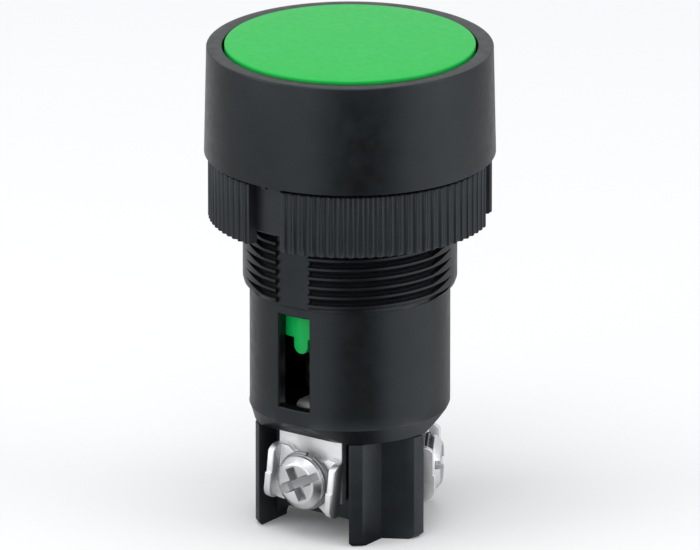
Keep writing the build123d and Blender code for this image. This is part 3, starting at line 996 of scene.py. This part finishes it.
def spring_height(turn, turns, length):
    """Height along a compression spring with one closed turn at each end.

    The closed turns and the wire's own thickness take three thicknesses of the length.
    """
    wire = 2 * SPRING_WIRE
    pitch = (length - 3 * wire) / (turns - 2)
    closed = min(turn, 1.0) + max(turn - turns + 1, 0.0)
    return wire / 2 + wire * closed + pitch * min(max(turn - 1, 0.0), turns - 2)


def make_spring(node, name, turns, body):
    """Round-wire spring as long as its CAD node, with one closed turn at each end."""
    low, high = node_box(node)
    length = high.z - low.z
    loops = []
    for step in range(turns * SPRING_STEPS + 1):
        turn = step / SPRING_STEPS
        middle = low.z + spring_height(turn, turns, length)
        loop = []
        for side in range(SPRING_SIDES):
            angle = 2 * pi * side / SPRING_SIDES
            reach = SPRING_RADIUS + SPRING_WIRE * cos(angle)
            loop.append(polar(360 * turn, reach, middle + SPRING_WIRE * sin(angle)))
        loops.append(loop)
    points, faces = ring_mesh(loops, closed=False)
    last = len(points) - SPRING_SIDES
    faces += [tuple(range(SPRING_SIDES)), tuple(last + side for side in range(SPRING_SIDES))]
    spring = piece(name, points, faces, SPRING_STEEL, body, node, SPRING_SHARP)
    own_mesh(spring)


# Assembly

def make_terminal(kind):
    """Screw plate, saddle clamp, washer and screw of one contact."""
    saddle = f"{kind}_saddle"
    softened_copy(f"{kind}_terminal", f"{kind}_screw_plate", PLATE_BEVEL, PLATE_NICKEL, "switch_body")
    softened_copy(f"{kind}_clamp", f"{kind}_saddle_clamp", CLAMP_BEVEL, CLAMP_NICKEL, saddle,
                  CLAMP_BEVEL_SEGMENTS)
    make_washer(kind)
    make_screw(kind)


def dress_kept_nodes():
    """Materials of the CAD nodes that show as they are."""
    kept = {"panel_gasket": RUBBER, "contact_bridge": COPPER_ALLOY}
    for rivet in (
        "open_lower_rivet", "closed_upper_rivet", "common_lower_rivet", "common_upper_rivet",
        "bridge_rivet_open", "bridge_rivet_closed", "bridge_rivet_common",
    ):
        kept[rivet] = SILVER
    for node, material in kept.items():
        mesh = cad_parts[node].data
        mesh.materials.clear()
        mesh.materials.append(material)


make_spring("return_spring", "return_coil_spring", RETURN_TURNS, "switch_body")
make_spring("contact_spring", "contact_coil_spring", CONTACT_TURNS, "moving_contact")
make_housing()
make_lock_nut()
make_cap()
softened_copy("terminal_base", "moulded_terminal_base", BASE_BEVEL, BASE_BLACK, "switch_body")
softened_copy("plunger", "moulded_plunger", PLUNGER_BEVEL, STEM_GREEN, "button")
for kind in TERMINALS:
    make_terminal(kind)
dress_kept_nodes()


# Floor, lamps, world and camera

def maths(tree, operation, first, second):
    """Output of a math node, whose inputs are sockets or plain numbers."""
    node = tree.nodes.new("ShaderNodeMath")
    node.operation = operation
    for socket, value in zip(node.inputs, (first, second)):
        if isinstance(value, bpy.types.NodeSocket):
            tree.links.new(value, socket)
        else:
            socket.default_value = value
    return node.outputs["Value"]


def weighted_sum(tree, first, first_share, second, second_share):
    """Sum of two sockets, each times a number."""
    return maths(tree, "ADD", maths(tree, "MULTIPLY", first, first_share),
                 maths(tree, "MULTIPLY", second, second_share))


def floor_material():
    """Pale floor, on which glossy rays see the light tent as a painted reflection."""
    material, shader = plain_material("pale_floor", FLOOR_COLOUR, FLOOR_ROUGHNESS)
    shader.inputs["Specular IOR Level"].default_value = FLOOR_SPECULAR
    tree = material.node_tree
    coordinates = tree.nodes.new("ShaderNodeTexCoord")
    split = tree.nodes.new("ShaderNodeSeparateXYZ")
    tree.links.new(coordinates.outputs["Object"], split.inputs["Vector"])
    x, y = split.outputs["X"], split.outputs["Y"]
    angle = radians(CAMERA_AZIMUTH)
    toward = weighted_sum(tree, x, sin(angle), y, -cos(angle))
    across = weighted_sum(tree, x, cos(angle), y, sin(angle))
    turn = maths(tree, "DIVIDE", maths(tree, "ARCTAN2", across, toward), 2 * pi)
    # Painted reflection: tent brightness by azimuth round the camera's direction
    ramp = tree.nodes.new("ShaderNodeValToRGB")
    elements = ramp.color_ramp.elements
    while len(elements) < len(PAINTED_TENT_REFLECTION):
        elements.new(0.5)
    for element, (azimuth, _) in zip(elements, PAINTED_TENT_REFLECTION):
        element.position = azimuth / 360 + 0.5
    for element, (_, level) in zip(elements, PAINTED_TENT_REFLECTION):
        element.color = (level, level, level, 1)
    tree.links.new(maths(tree, "ADD", turn, 0.5), ramp.inputs["Fac"])
    # Glossy rays see the tent's painted reflection, other rays the plain pale floor
    path = tree.nodes.new("ShaderNodeLightPath")
    mix = tree.nodes.new("ShaderNodeMix")
    mix.data_type = "RGBA"
    mix.inputs["A"].default_value = (*FLOOR_COLOUR, 1)
    tree.links.new(ramp.outputs["Color"], mix.inputs["B"])
    tree.links.new(path.outputs["Is Glossy Ray"], mix.inputs["Factor"])
    tree.links.new(mix.outputs["Result"], shader.inputs["Base Color"])
    return material


def make_floor():
    """Square floor under the CAD model's lowest point."""
    height = cad_bounds[0][2]
    corners = [(-FLOOR_HALF, -FLOOR_HALF), (FLOOR_HALF, -FLOOR_HALF), (FLOOR_HALF, FLOOR_HALF),
               (-FLOOR_HALF, FLOOR_HALF)]
    mesh = bpy.data.meshes.new("floor")
    mesh.from_pydata([(x, y, height) for x, y in corners], [], [(0, 1, 2, 3)])
    mesh.materials.append(floor_material())
    new_object("floor", mesh)


def outward(azimuth, elevation):
    """Unit vector from the object towards an azimuth and elevation."""
    a, e = radians(azimuth), radians(elevation)
    return Vector((sin(a) * cos(e), -cos(a) * cos(e), sin(e)))


def softbox(name, turn, elevation, width, height, power):
    """Area lamp that faces the object, at a turn from the camera to its right."""
    lamp = bpy.data.lights.new(name, "AREA")
    lamp.shape = "RECTANGLE"
    lamp.size = width
    lamp.size_y = height
    lamp.energy = power
    thing = new_object(name, lamp)
    direction = outward(CAMERA_AZIMUTH + turn, elevation)
    thing.location = direction * LAMP_DISTANCE + Vector((0, 0, VIEW_MIDDLE * MM))
    thing.rotation_euler = direction.to_track_quat("Z", "Y").to_euler()


def make_world():
    world = bpy.data.worlds.new("studio")
    world.use_nodes = True
    background = world.node_tree.nodes["Background"]
    background.inputs["Color"].default_value = (*SKY_COLOUR, 1)
    background.inputs["Strength"].default_value = SKY_STRENGTH
    bpy.context.scene.world = world


def make_camera():
    """Camera whose view is VIEW_WIDTH wide at the object's axis."""
    data = bpy.data.cameras.new("camera")
    data.sensor_width = SENSOR_WIDTH
    data.lens = SENSOR_WIDTH * CAMERA_DISTANCE / VIEW_WIDTH
    data.clip_start = CLIP_START
    data.clip_end = CLIP_END
    camera = new_object("camera", data)
    direction = outward(CAMERA_AZIMUTH, CAMERA_ELEVATION)
    camera.location = (Vector((0, 0, VIEW_MIDDLE)) + direction * CAMERA_DISTANCE) * MM
    camera.rotation_euler = direction.to_track_quat("Z", "Y").to_euler()
    bpy.context.scene.camera = camera


make_floor()
for name, settings in SOFTBOXES.items():
    softbox(name, *settings)
make_world()
make_camera()
bpy.context.scene.view_settings.view_transform = "Standard"
